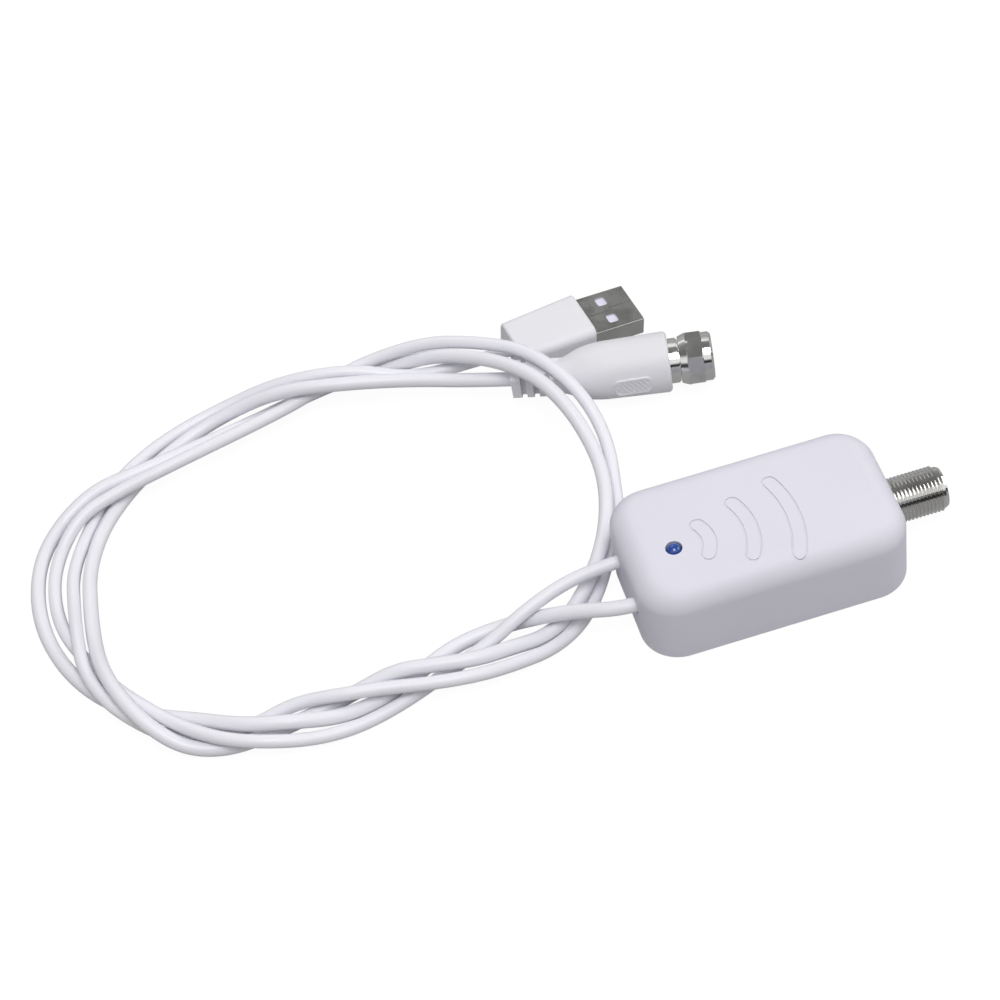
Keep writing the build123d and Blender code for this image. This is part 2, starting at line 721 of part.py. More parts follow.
def make_power_plug():
    along = Axis(usb_place, usb_ahead)
    inside = usb_across(-usb_shell_inside)
    shell_whole = usb_shell_inside + usb_shell_length
    with BuildPart() as usb_boot:
        with BuildSketch(usb_across(-usb_boot_length, -usb_boot_rear_drop)):
            RectangleRounded(usb_boot_rear_width, usb_boot_rear_height, usb_boot_round)
        with BuildSketch(usb_across(0)):
            RectangleRounded(usb_boot_width, usb_boot_height, usb_boot_round)
        loft()
        fillet(usb_boot.faces().sort_by(along)[0].edges(), usb_boot_end_round)
        fillet(usb_boot.faces().sort_by(along)[-1].edges(), usb_boot_end_round)
        with BuildSketch(inside):
            RectangleRounded(usb_shell_width + 2 * play, usb_shell_height + 2 * play, usb_corner + play)
        extrude(amount=shell_whole, mode=Mode.SUBTRACT)
    keep(usb_boot, "usb_boot")
    half_height = usb_shell_height / 2
    seam_jog = usb_shell_length / 2
    with BuildPart() as usb_shell:
        with BuildSketch(inside):
            RectangleRounded(usb_shell_width, usb_shell_height, usb_corner)
            RectangleRounded(usb_shell_width - 2 * usb_sheet, usb_shell_height - 2 * usb_sheet,
                             usb_corner - usb_sheet, mode=Mode.SUBTRACT)
        extrude(amount=shell_whole)
        with BuildSketch(usb_flat(-half_height - overrun)):
            with Locations((usb_window_in, -usb_window_off), (usb_window_in, usb_window_off)):
                RectangleRounded(usb_window_length, usb_window_width, usb_window_round)
        extrude(amount=usb_shell_height + 2 * overrun, mode=Mode.SUBTRACT)
        with BuildSketch(usb_flat(half_height - usb_seam_depth)):
            with Locations((seam_jog / 2, -usb_seam_jog)):
                Rectangle(seam_jog, usb_seam)
            with Locations((seam_jog, 0)):
                Rectangle(usb_seam, 2 * usb_seam_jog + usb_seam)
            with Locations((seam_jog + seam_jog / 2, usb_seam_jog)):
                Rectangle(seam_jog, usb_seam)
        extrude(amount=usb_seam_depth + overrun, mode=Mode.SUBTRACT)
    keep(usb_shell, "usb_shell")
    ceiling = half_height - usb_sheet - play
    tongue_middle = ceiling - usb_tongue_height / 2
    tongue_width = usb_shell_width - 2 * usb_sheet - 4 * play
    with BuildPart() as usb_tongue:
        with BuildSketch(usb_across(-usb_shell_inside, tongue_middle)):
            Rectangle(tongue_width, usb_tongue_height)
        extrude(amount=shell_whole - usb_tongue_recess)
    keep(usb_tongue, "usb_tongue")
    with BuildPart() as usb_contacts:
        with BuildSketch(usb_flat(ceiling - usb_tongue_height - usb_contact_thickness)):
            with Locations((usb_shell_length / 2, 0)):
                with GridLocations(usb_contact_length, usb_contact_pitch, 1, usb_contact_count):
                    Rectangle(usb_contact_length, usb_contact_width)
        extrude(amount=usb_contact_thickness)
    keep(usb_contacts, "usb_contacts")


def make_aerial_plug():
    place = (f_x, f_y, f_height, f_yaw)
    side, axis = beside(*place), axis_of(*place)
    neck = -f_boot_length + relief_length
    neck_place = Vector(f_x, f_y, f_height) + heading(f_yaw) * neck
    relief_start = across(neck_place.X, neck_place.Y, f_height, relief_yaw, -relief_length)
    with BuildPart() as aerial_plug_boot:
        with BuildSketch(side):
            with BuildLine():
                Polyline((neck, neck_radius), (neck, 0), (0, 0), (0, f_boot_radius))
                Line((0, f_boot_radius), (f_boot_taper_at, f_boot_mid_radius))
                Spline(
                    (f_boot_taper_at, f_boot_mid_radius),
                    (f_boot_shoulder_at, f_boot_shoulder_radius),
                    (neck, neck_radius),
                    tangents=((-1, -f_boot_taper_slope), (-1, -neck_slope)))
            make_face()
        revolve(axis=axis)
        fillet(aerial_plug_boot.faces().sort_by(axis)[-1].edges(), f_boot_round)
        with BuildSketch(relief_start):
            RectangleRounded(relief_side, relief_side, relief_round)
        extrude(amount=relief_length + neck_blend)
        for number in range(relief_slots):
            start = relief_slot_in + number * relief_slot_pitch
            with BuildSketch(relief_start.offset(start)):
                with GridLocations(relief_side, relief_side, 2, 1):
                    Rectangle(2 * relief_slot_depth, relief_side + overrun)
            extrude(amount=relief_slot, mode=Mode.SUBTRACT)
        for number in range(grip_pads):
            turn = grip_turn + number * 360 / grip_pads
            pad = beside(*place).rotated((turn, 0, 0)).offset(grip_floor)
            with BuildSketch(pad):
                with Locations((-grip_in, 0)):
                    RectangleRounded(grip_length, grip_width, grip_round)
            extrude(amount=grip_top - grip_floor)
            with BuildSketch(pad.offset(grip_top - grip_floor - grip_groove)):
                with Locations((-grip_in, 0)):
                    RectangleRounded(grip_length - 2 * grip_rim, grip_width - 2 * grip_rim,
                                     grip_round - grip_rim)
                    with GridLocations(grip_rib_pitch, grip_width, grip_ribs, 1):
                        Rectangle(grip_rib, 2 * grip_width, rotation=-grip_rib_lean, mode=Mode.SUBTRACT)
            extrude(amount=grip_groove, mode=Mode.SUBTRACT)
        with BuildSketch(across(*place, distance=-sleeve_inside)):
            Circle(sleeve_radius + play)
        extrude(amount=sleeve_inside, mode=Mode.SUBTRACT)
    keep(aerial_plug_boot, "aerial_plug_boot")
    post_radius_outer = post_outer / 2
    with BuildPart() as plug_sleeve:
        revolve(outline(side, [
            (play - sleeve_inside, post_radius_outer + play), (play - sleeve_inside, sleeve_radius),
            (sleeve_length - sleeve_groove, sleeve_radius),
            (sleeve_length - sleeve_groove, sleeve_radius - sleeve_groove),
            (sleeve_length, sleeve_radius - sleeve_groove), (sleeve_length, post_radius_outer + play)]),
            axis=axis)
    keep(plug_sleeve, "plug_sleeve")
    nut_start = sleeve_length + nut_back_gap
    nut_wall_end = nut_start + nut_back
    flange_start = nut_wall_end + nut_play
    flange_end = flange_start + post_flange
    post_inner = post_bore / 2
    with BuildPart() as plug_post:
        revolve(outline(side, [
            (play - sleeve_inside, post_inner), (play - sleeve_inside, post_radius_outer),
            (flange_start, post_radius_outer), (flange_start, post_flange_radius),
            (flange_end, post_flange_radius), (flange_end, post_inner)]), axis=axis)
    keep(plug_post, "plug_post")
    with BuildPart() as plug_insulator:
        revolve(outline(side, [
            (play - sleeve_inside, pin_radius + play), (play - sleeve_inside, post_inner - play),
            (flange_end, post_inner - play), (flange_end, pin_radius + play)]), axis=axis)
    keep(plug_insulator, "plug_insulator")
    nut_hex_start = nut_start + nut_cone_length
    nut_hex_end = nut_hex_start + nut_hex_length
    nut_end = nut_hex_end + nut_collar_length
    with BuildPart() as plug_pin:
        revolve(outline(side, [
            (play - sleeve_inside, 0), (play - sleeve_inside, pin_radius),
            (nut_end - pin_back - pin_radius, pin_radius), (nut_end - pin_back, 0)]), axis=axis)
    keep(plug_pin, "plug_pin")
    with BuildPart() as coupling_nut:
        revolve(outline(side, [
            (nut_start, 0), (nut_start, nut_cone_radius), (nut_hex_start, nut_flange_radius),
            (nut_hex_start + nut_back, nut_flange_radius), (nut_hex_start + nut_back, 0)]), axis=axis)
        with BuildSketch(across(*place, distance=nut_hex_start)):
            RegularPolygon(nut_flats / 2, nut_sides, major_radius=False, rotation=nut_rest_turn)
        extrude(amount=nut_hex_length)
        hex_corner = nut_flats / 2 / cos(pi / nut_sides)
        revolve(outline(side, [
            (nut_start, 0), (nut_start, nut_cone_radius), (nut_hex_start, nut_flange_radius),
            (nut_hex_start + nut_chamfer, hex_corner), (nut_hex_end - nut_chamfer, hex_corner),
            (nut_hex_end, nut_flange_radius), (nut_hex_end, 0)]), axis=axis, mode=Mode.INTERSECT)
        revolve(outline(side, [
            (nut_hex_end - nut_back, 0), (nut_hex_end - nut_back, nut_collar_radius),
            (nut_end - nut_back, nut_collar_radius), (nut_end, nut_collar_radius - nut_back),
            (nut_end, 0)]), axis=axis)
        revolve(outline(side, [
            (nut_wall_end, 0), (nut_wall_end, nut_bore / 2), (nut_end + overrun, nut_bore / 2),
            (nut_end + overrun, 0)]), axis=axis, mode=Mode.SUBTRACT)
        with BuildSketch(across(*place, distance=nut_start - overrun)):
            Circle(post_radius_outer + nut_play)
        extrude(amount=nut_end, mode=Mode.SUBTRACT)
    keep(coupling_nut, "coupling_nut")


os.makedirs("parts", exist_ok=True)
make_top_shell()
make_bottom_cover()
make_screws()
make_circuit_board()
make_lamp()
make_components()
make_socket()
make_clamp()
make_tails()
make_power_plug()
make_aerial_plug()
lead(usb_route, usb_cord_diameter, "usb_lead")
lead(coax_route, coax_diameter, "coax_lead")
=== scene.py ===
# %% [markdown]
# # A television aerial amplifier and its two leads
# A small rounded case carries a threaded aerial socket and a lamp. Two captive leads leave its
# other end: a thin one with a flat power plug, and a coaxial one with a screw-on aerial plug.
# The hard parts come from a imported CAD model, so this script adds what CAD leaves out: the
# leads as smooth curves, the screw threads, and the finish of every surface.

# %% Load the frame
from math import cos, pi, radians, sin

import bmesh
import bpy
from mathutils import Matrix, Vector


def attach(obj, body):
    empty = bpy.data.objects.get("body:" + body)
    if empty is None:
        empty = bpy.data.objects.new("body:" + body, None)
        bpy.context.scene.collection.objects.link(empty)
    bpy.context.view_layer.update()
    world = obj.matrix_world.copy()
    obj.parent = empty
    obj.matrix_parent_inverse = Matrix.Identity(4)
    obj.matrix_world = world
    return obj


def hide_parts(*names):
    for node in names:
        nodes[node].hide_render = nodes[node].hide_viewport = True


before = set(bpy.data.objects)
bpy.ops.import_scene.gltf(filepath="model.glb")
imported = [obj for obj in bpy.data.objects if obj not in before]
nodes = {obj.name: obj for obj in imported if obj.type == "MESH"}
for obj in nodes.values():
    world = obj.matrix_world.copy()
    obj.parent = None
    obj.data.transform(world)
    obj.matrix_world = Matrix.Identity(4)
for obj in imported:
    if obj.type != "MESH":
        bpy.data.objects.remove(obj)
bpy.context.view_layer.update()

scene = bpy.context.scene
print("CAD nodes:", len(nodes))


def mm(*values):
    """A point or a length given in millimetres, in metres."""
    scaled = tuple(value / 1000 for value in values)
    return scaled if len(scaled) > 1 else scaled[0]


def on_axis(start, direction, distance):
    """The point at a distance along an axis."""
    return Vector(start) + Vector(direction) * distance


# %% [markdown]
# ## The camera
# The photograph looks down at the object from the front, about fifty degrees above the table,
# and the picture is turned a little. A lens of 90 mm on a 36 mm sensor gives its mild
# perspective. The camera's three axes are written out, because that states the tilt and the
# turn exactly, and then turned with the object's own heading on the table.

# %% Place the camera
lens, sensor = 90.0, 36.0
tilt, roll, heading = radians(49.63), radians(11.42), radians(6.70)
distance = mm(527.26)
aim = Vector(mm(48.93, -31.49, 0))

back = Vector((0, -cos(tilt), sin(tilt)))
level = Vector((1, 0, 0))
rise = Vector((0, sin(tilt), cos(tilt)))
right = level * cos(roll) - rise * sin(roll)
up = level * sin(roll) + rise * cos(roll)
to_object = Matrix.Rotation(-heading, 3, "Z")
place = to_object @ (back * distance - aim)
turned = to_object @ Matrix((right, up, back)).transposed()

camera_data = bpy.data.cameras.new("camera")
camera_data.lens, camera_data.sensor_width = lens, sensor
camera_data.clip_start, camera_data.clip_end = mm(10, 20000)
camera = bpy.data.objects.new("camera", camera_data)
scene.collection.objects.link(camera)
camera.matrix_world = Matrix.Translation(place) @ turned.to_4x4()
scene.camera = camera
scene.view_settings.view_transform = "Standard"
print("camera at", [round(value, 4) for value in place])

# %% [markdown]
# ## Effects that many finishes share
# A shader node group is built once and placed in each material with its own values. The first
# one is the skin of a moulded or cast surface: a fine grain for the bump, and a slow drift
# that varies tone and gloss. The second one is for turned or drawn metal, where the tool
# leaves lines across one direction only.


# %% Helpers for node groups
noise_low, noise_high = 0.3, 0.7


def new_group(name, inputs, outputs):
    """A shader node group with named sockets, and its two end nodes."""
    group = bpy.data.node_groups.new(name, "ShaderNodeTree")
    for label, kind, value in inputs:
        socket = group.interface.new_socket(label, in_out="INPUT", socket_type=kind)
        if value is not None:
            socket.default_value = value
    for label, kind in outputs:
        group.interface.new_socket(label, in_out="OUTPUT", socket_type=kind)
    return group, group.nodes.new("NodeGroupInput"), group.nodes.new("NodeGroupOutput")


def add_noise(tree, vector, scale, detail):
    """A noise texture on a vector, at a scale that is a number or a socket."""
    noise = tree.nodes.new("ShaderNodeTexNoise")
    noise.inputs["Detail"].default_value = detail
    tree.links.new(vector, noise.inputs["Vector"])
    if isinstance(scale, (int, float)):
        noise.inputs["Scale"].default_value = scale
    else:
        tree.links.new(scale, noise.inputs["Scale"])
    return noise.outputs["Fac"]


def spread(tree, value, low, high):
    """A value stretched from the usual range of noise to a range of its own."""
    node = tree.nodes.new("ShaderNodeMapRange")
    node.inputs["From Min"].default_value = noise_low
    node.inputs["From Max"].default_value = noise_high
    node.inputs["To Min"].default_value = low
    node.inputs["To Max"].default_value = high
    tree.links.new(value, node.inputs["Value"])
    return node.outputs["Result"]


# %% The skin group
skin_inputs = [
    ("Vector", "NodeSocketVector", None),
    ("Grain", "NodeSocketFloat", 4000.0),
    ("Drift", "NodeSocketFloat", 60.0),
]
skin_outputs = [("Height", "NodeSocketFloat"), ("Tone", "NodeSocketFloat")]
skin, entry, leave = new_group("moulded_skin", skin_inputs, skin_outputs)
grain = add_noise(skin, entry.outputs["Vector"], entry.outputs["Grain"], 2.0)
drift = add_noise(skin, entry.outputs["Vector"], entry.outputs["Drift"], 4.0)
skin.links.new(grain, leave.inputs["Height"])
skin.links.new(spread(skin, drift, 0.0, 1.0), leave.inputs["Tone"])
print("group", skin.name, "has", len(skin.nodes), "nodes")

# %% The tool marks group
line_stretch = 0.04
marks, entry, leave = new_group("tool_marks", skin_inputs, skin_outputs)
squeeze = marks.nodes.new("ShaderNodeMapping")
squeeze.inputs["Scale"].default_value = (1.0, line_stretch, line_stretch)
marks.links.new(entry.outputs["Vector"], squeeze.inputs["Vector"])
lines = add_noise(marks, squeeze.outputs["Vector"], entry.outputs["Grain"], 3.0)
drift = add_noise(marks, entry.outputs["Vector"], entry.outputs["Drift"], 3.0)
marks.links.new(lines, leave.inputs["Height"])
marks.links.new(spread(marks, drift, 0.0, 1.0), leave.inputs["Tone"])
print("group", marks.name, "has", len(marks.nodes), "nodes")


# %% [markdown]
# ## The finishes
# One function builds every material: two close colours mixed by the slow drift, a roughness
# that drifts with them, and a fine bump. What differs between vinyl, plated nickel and solder
# mask is then only a row of values, so the finishes are easy to compare and to tune.


# %% A function for a finish
def make_finish(name, colours, roughness, metal=0.0, group=skin, grain=4000.0, drift=60.0,
                bump=0.1, depth=0.02, turn=0.0, extra=None):
    """A procedural material on Object coordinates, with a drift of colour and gloss."""
    material = bpy.data.materials.new(name)
    material.use_nodes = True
    tree = material.node_tree
    shader = tree.nodes["Principled BSDF"]
    where = tree.nodes.new("ShaderNodeTexCoord").outputs["Object"]
    if turn:
        mapping = tree.nodes.new("ShaderNodeMapping")
        mapping.inputs["Rotation"].default_value = (0, 0, radians(turn))
        tree.links.new(where, mapping.inputs["Vector"])
        where = mapping.outputs["Vector"]
    effect = tree.nodes.new("ShaderNodeGroup")
    effect.node_tree = group
    effect.inputs["Grain"].default_value = grain
    effect.inputs["Drift"].default_value = drift
    tree.links.new(where, effect.inputs["Vector"])
    mix = tree.nodes.new("ShaderNodeMix")
    mix.data_type = "RGBA"
    mix.inputs["A"].default_value = (*colours[0], 1)
    mix.inputs["B"].default_value = (*colours[1], 1)
    tree.links.new(effect.outputs["Tone"], mix.inputs["Factor"])
    tree.links.new(mix.outputs["Result"], shader.inputs["Base Color"])
    gloss = spread(tree, effect.outputs["Tone"], *roughness)
    tree.links.new(gloss, shader.inputs["Roughness"])
    relief = tree.nodes.new("ShaderNodeBump")
    relief.inputs["Strength"].default_value = bump
    relief.inputs["Distance"].default_value = mm(depth)
    tree.links.new(effect.outputs["Height"], relief.inputs["Height"])
    tree.links.new(relief.outputs["Normal"], shader.inputs["Normal"])
    shader.inputs["Metallic"].default_value = metal
    for label, value in (extra or {}).items():
        shader.inputs[label].default_value = value
    return material


# %% [markdown]
# The case has the fine matte texture of a spark-eroded mould, and a faint lavender tint. The
# leads and boots are a softer vinyl, smoother and slightly more neutral. Nickel is bright and
# a little warm, and the steel of the power plug is darker and less sharply mirrored.

# %% Make the finishes
finishes = {
    "case": make_finish(
        "case_plastic", [(0.700, 0.690, 0.770), (0.715, 0.705, 0.783)], (0.50, 0.60),
        grain=5200, drift=45, bump=0.22, depth=0.03, extra={"Specular IOR Level": 0.4}),
    "cord": make_finish(
        "lead_vinyl", [(0.800, 0.795, 0.850), (0.815, 0.810, 0.862)], (0.34, 0.42),
        grain=1500, drift=70, bump=0.06, depth=0.03),
    "boot": make_finish(
        "boot_vinyl", [(0.735, 0.730, 0.770), (0.760, 0.755, 0.790)], (0.46, 0.56),
        grain=3400, drift=90, bump=0.16, depth=0.03),
    "nickel": make_finish(
        "bright_nickel", [(0.72, 0.715, 0.70), (0.78, 0.775, 0.76)], (0.08, 0.16), metal=1.0,
        group=marks, grain=9000, drift=220, bump=0.10, depth=0.01),
    "nickel_turned": make_finish(
        "turned_nickel", [(0.72, 0.715, 0.70), (0.78, 0.775, 0.76)], (0.08, 0.18), metal=1.0,
        group=marks, grain=9000, drift=220, bump=0.10, depth=0.01, turn=11.5),
    "steel": make_finish(
        "rolled_steel", [(0.46, 0.46, 0.45), (0.54, 0.54, 0.52)], (0.18, 0.28), metal=1.0,
        grain=2600, drift=160, bump=0.05, depth=0.01),
    "tongue": make_finish(
        "tongue_plastic", [(0.70, 0.68, 0.82), (0.73, 0.71, 0.85)], (0.45, 0.55), grain=3000),
    "insulator": make_finish(
        "white_insulator", [(0.80, 0.80, 0.78), (0.84, 0.84, 0.82)], (0.45, 0.55), grain=3000),
    "lamp": make_finish(
        "lamp_lens", [(0.010, 0.045, 0.26), (0.016, 0.075, 0.36)], (0.10, 0.18), drift=900,
        bump=0.02, extra={"Coat Weight": 0.6, "Coat Roughness": 0.08}),
    "board": make_finish(
        "solder_mask", [(0.012, 0.10, 0.045), (0.02, 0.14, 0.06)], (0.25, 0.35), grain=900,
        drift=300),
    "epoxy": make_finish(
        "black_epoxy", [(0.018, 0.018, 0.018), (0.028, 0.028, 0.028)], (0.5, 0.6), grain=3000),
    "ceramic": make_finish(
        "fired_ceramic", [(0.30, 0.19, 0.10), (0.36, 0.23, 0.12)], (0.4, 0.5), grain=3000),
    "ferrite": make_finish(
        "sintered_ferrite", [(0.04, 0.04, 0.042), (0.06, 0.06, 0.062)], (0.6, 0.7), grain=2500),
    "red_wire": make_finish(
        "red_insulation", [(0.42, 0.015, 0.012), (0.50, 0.02, 0.016)], (0.35, 0.45), grain=2000),
    "tin": make_finish(
        "tinned_steel", [(0.58, 0.58, 0.57), (0.66, 0.66, 0.65)], (0.28, 0.42), metal=1.0,
        group=marks, grain=4000, drift=150),
    "can": make_finish(
        "drawn_aluminium", [(0.62, 0.62, 0.63), (0.68, 0.68, 0.69)], (0.3, 0.4), metal=1.0,
        grain=4000, drift=150),
    "copper": make_finish(
        "bare_copper", [(0.72, 0.33, 0.17), (0.80, 0.40, 0.22)], (0.22, 0.34), metal=1.0,
        grain=3000, drift=300),
    "enamel": make_finish(
        "enamelled_copper", [(0.45, 0.14, 0.045), (0.52, 0.18, 0.06)], (0.2, 0.3), metal=0.6,
        grain=3000, drift=300),
    "gold": make_finish(
        "gold_flash", [(0.80, 0.56, 0.20), (0.86, 0.62, 0.25)], (0.2, 0.3), metal=1.0,
        grain=3000, drift=300),
}
print("finishes:", ", ".join(sorted(finishes)))

# %% [markdown]
# ## Dress the CAD nodes
# The hard parts already have the right shape, so each one only takes its finish. A table of
# node names by finish keeps that in one place, and it shows at a glance what is missing.

# %% Give each CAD node its finish
dressed = {
    "case": ["top_shell", "bottom_cover", "cord_clamp"],
    "boot": ["usb_boot", "aerial_plug_boot"],
    "cord": ["usb_lead", "coax_lead"],
    "nickel": ["aerial_socket"],
    "nickel_turned": ["plug_sleeve", "plug_post", "coupling_nut"],
    "steel": ["usb_shell", "case_screws", "board_screws", "clamp_screw"],
    "tongue": ["usb_tongue"],
    "insulator": ["socket_insulator", "plug_insulator"],
    "lamp": ["status_lamp"],
    "board": ["circuit_board"],
    "epoxy": ["amplifier_chip", "voltage_regulator", "chip_resistors"],
    "ceramic": ["chip_capacitors"],
    "ferrite": ["choke_core"],
    "red_wire": ["power_wires"],
    "tin": ["lamp_legs", "shield_can", "coax_braid_tail"],
    "can": ["electrolytic_capacitor"],
    "copper": ["plug_pin", "coax_core_tail"],
    "enamel": ["choke_winding"],
    "gold": ["usb_contacts", "socket_contact"],
}


def wear(piece, finish):
    """Put one finish on every slot of a piece."""
    piece.data.materials.clear()
    piece.data.materials.append(finishes[finish])


for finish, names in dressed.items():
    for name in names:
        wear(nodes[name], finish)
left_plain = sorted(set(nodes) - {name for names in dressed.values() for name in names})
print("nodes left plain:", left_plain)

# %% [markdown]
# ## The two leads
# A lead is one flexible length, so it is one curve with a round bevel, never a chain of
# tubes. Its points were chosen along the photograph, and they are the control points
# of a smooth NURBS line. The spline's order and its end rule are set after the points are
# added, because set before, the line stays made of straight runs.


# %% A function for a lead
lead_roundness, lead_smoothness = 5, 8


def make_lead(name, route, diameter):
    """A round lead along its route, with closed ends."""
    curve = bpy.data.curves.new(name, "CURVE")
    curve.dimensions = "3D"
    curve.bevel_depth = mm(diameter) / 2
    curve.bevel_resolution = lead_roundness
    curve.resolution_u = lead_smoothness
    curve.use_fill_caps = True
    spline = curve.splines.new("NURBS")
    spline.points.add(len(route) - 1)
    for point, position in zip(spline.points, route):
        point.co = (*mm(*position), 1)
    spline.order_u = 3
    spline.use_endpoint_u = True
    lead = bpy.data.objects.new(name, curve)
    scene.collection.objects.link(lead)
    curve.materials.append(finishes["cord"])
    return lead


# %% The power lead
usb_route = [
    (-21, 5, 9.2), (-30, 5, 9.2), (-39.5, 4, 8.8), (-49, 1, 7.4), (-57, -1.5, 4.2),
    (-66, -3.2, 1.6), (-76, -7.3, 1.5), (-86, -10, 1.5), (-95, -10.6, 2.4), (-104, -10, 5),
    (-113, -6.2, 5.2), (-121, 0.5, 5), (-128, 9, 5.2), (-132.3, 16.5, 3.5), (-136.6, 26, 1.5),
    (-140.2, 36, 1.5), (-140.2, 47, 1.5), (-137.2, 56, 1.9), (-130.8, 62.2, 4.9),
    (-121.5, 65.3, 5.3), (-111.5, 66.4, 6.8), (-101.5, 69, 6.6), (-91, 72.8, 5.2),
    (-79.5, 76.2, 4.8), (-67, 80.6, 5.5), (-57.3, 79.4, 8.3), (-48, 77, 10.4),
    (-38.8, 71.8, 11.6), (-30.1, 65.4, 12.4), (-24.4, 56.4, 11.5), (-20.7, 48.3, 8.2), (-19.6, 40, 4.1),
    (-21, 32, 1.6), (-23, 22, 1.5), (-28.6, 12, 1.5), (-33, 4.5, 1.5), (-38.6, -2, 1.5),
    (-45.2, -5.5, 1.6), (-52, -7.2, 2.7), (-61, -8.7, 4.5), (-71, -7.8, 5.4), (-80, -5.6, 5.5),
    (-88, -4.6, 6), (-97.5, -1.6, 3.9), (-106, -2.2, 1.5), (-115, -2.3, 1.5),
    (-123, 0.7, 1.5), (-129, 5.8, 2.9), (-134.2, 12, 5.1), (-137, 21, 5.4),
    (-136.8, 31, 4.7), (-136.5, 41, 2), (-135.5, 49.5, 1.5), (-131.5, 58, 1.5),
    (-126.5, 66, 1.5), (-120.5, 73, 1.5), (-112, 78.5, 1.5), (-103, 82, 1.6), (-94, 83, 3),
    (-85, 82, 6), (-75.5, 79.3, 8.6), (-65, 76.9, 8.4), (-54.5, 73.7, 4.8), (-43.2, 71.9, 5.9),
    (-31.85, 72.7, 5.5),
]
usb_cord_diameter = 2.8
power_lead = make_lead("power_lead", usb_route, usb_cord_diameter)
print("power lead:", len(usb_route), "points")

# %% The coaxial lead
coax_route = [
    (-21, -6.9, 9.2), (-30, -6.9, 9.2), (-38.5, -3, 7.8), (-46, 0.5, 5), (-54, 3.5, 1.7),
    (-64, 2.4, 1.6), (-73, -2, 1.6), (-81.5, -5.7, 1.6), (-90, -7.5, 2.9), (-98.5, -7.4, 5.8),
    (-108, -4.7, 5.6), (-117, 1.6, 3.5), (-126, 7.3, 1.6), (-134, 13.8, 1.6), (-140, 23, 1.6),
    (-143.5, 34, 1.6), (-144, 45, 1.6), (-141.5, 56, 1.6), (-135, 63.6, 3), (-126.5, 68, 4.9),
    (-117, 69, 5.3), (-107, 70.8, 5.2), (-97, 74.4, 3.2), (-86.5, 78, 1.6), (-75, 81, 1.6),
    (-65, 81, 2.6), (-56, 78, 5.4), (-48.5, 74.2, 8.9), (-41, 68.8, 11), (-34.5, 62, 12.8),
    (-29.3, 55, 13), (-25.3, 46.9, 10.3), (-23.1, 38.6, 6), (-23.3, 30, 4.6), (-25.8, 20.5, 4.7),
    (-29.8, 12, 4.7), (-34.7, 5.2, 4.4), (-40, 0.3, 2.9), (-46.2, -2.4, 1.8), (-53, -3.9, 3.8),
    (-60.5, -5.8, 6), (-69, -4.2, 6.1), (-77, -2.4, 5.6), (-85.5, -2.2, 2.2),
    (-94, -3.9, 1.6), (-104, -5.6, 1.6), (-113, -6.1, 1.6), (-121, -3.6, 2.8), (-127, 2, 6.4),
    (-131, 10, 8), (-133.2, 19.5, 6.4), (-133.8, 29, 3.2), (-133.4, 38.5, 1.6),
    (-132, 49, 1.6), (-127.3, 59.5, 1.6), (-120.3, 67.5, 1.6), (-112, 74, 1.6),
    (-102.5, 79, 1.8), (-92.5, 79.6, 4.8), (-82.5, 77.8, 8), (-72, 74.8, 8.7),
    (-61, 72.8, 7.4), (-52, 70, 6.9), (-43, 66.1, 6.9), (-34.05, 62.85, 6.95),
]
coax_diameter = 3.1
aerial_lead = make_lead("aerial_lead", coax_route, coax_diameter)
print("aerial lead:", len(coax_route), "points")

for lead, node in ((power_lead, "usb_lead"), (aerial_lead, "coax_lead")):
    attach(lead, "amplifier")
    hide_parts(node)

# %% [markdown]
# ## The screw threads
# The aerial socket and the coupling nut carry a 3/8-32 thread: 32 turns to the inch. CAD has
# rings or a plain bore there. Here the thread is a real helix: one closed section, spun about
# the axis while each step also moves it along by its share of the pitch.


# %% A function for a thread
inch, turns_per_inch = 25.4, 32
thread_pitch = inch / turns_per_inch
thread_tip = 0.16
thread_steps = 48


def add_thread(mesh, start, direction, reach, foot, crest):
    """A helix along an axis: a section from the foot's radius to the crest's, spun and moved."""
    ahead = Vector(direction).normalized()
    side = ahead.orthogonal().normalized()
    middle, half_tip = thread_pitch / 2, thread_tip * thread_pitch / 2
    section = [(0, foot), (middle - half_tip, crest), (middle + half_tip, crest), (thread_pitch, foot)]
    corners = [mesh.verts.new(on_axis(start, ahead, mm(x)) + side * mm(r)) for x, r in section]
    face = mesh.faces.new(corners)
    turns = (reach - thread_pitch) / thread_pitch
    bmesh.ops.spin(
        mesh, geom=[face, *face.edges, *face.verts], cent=start, axis=ahead,
        dvec=ahead * mm(thread_pitch) / thread_steps, angle=turns * 2 * pi,
        steps=int(turns * thread_steps))


def finish_mesh(name, mesh):
    """Turn a bmesh into a flat-shaded object in the scene."""
    data = bpy.data.meshes.new(name)
    mesh.to_mesh(data)
    mesh.free()
    for polygon in data.polygons:
        polygon.use_smooth = False
    piece = bpy.data.objects.new(name, data)
    scene.collection.objects.link(piece)
    return piece


# %% The aerial socket
case_end, socket_front, socket_height = 27.8, 39.1, 8.6
socket_root, socket_crest, socket_bore = 4.3, 4.75, 3.15
barrel_start, lead_in, thread_sink = case_end - 0.3, 0.55, 0.05
round_steps = 72
weld_distance = 0.001


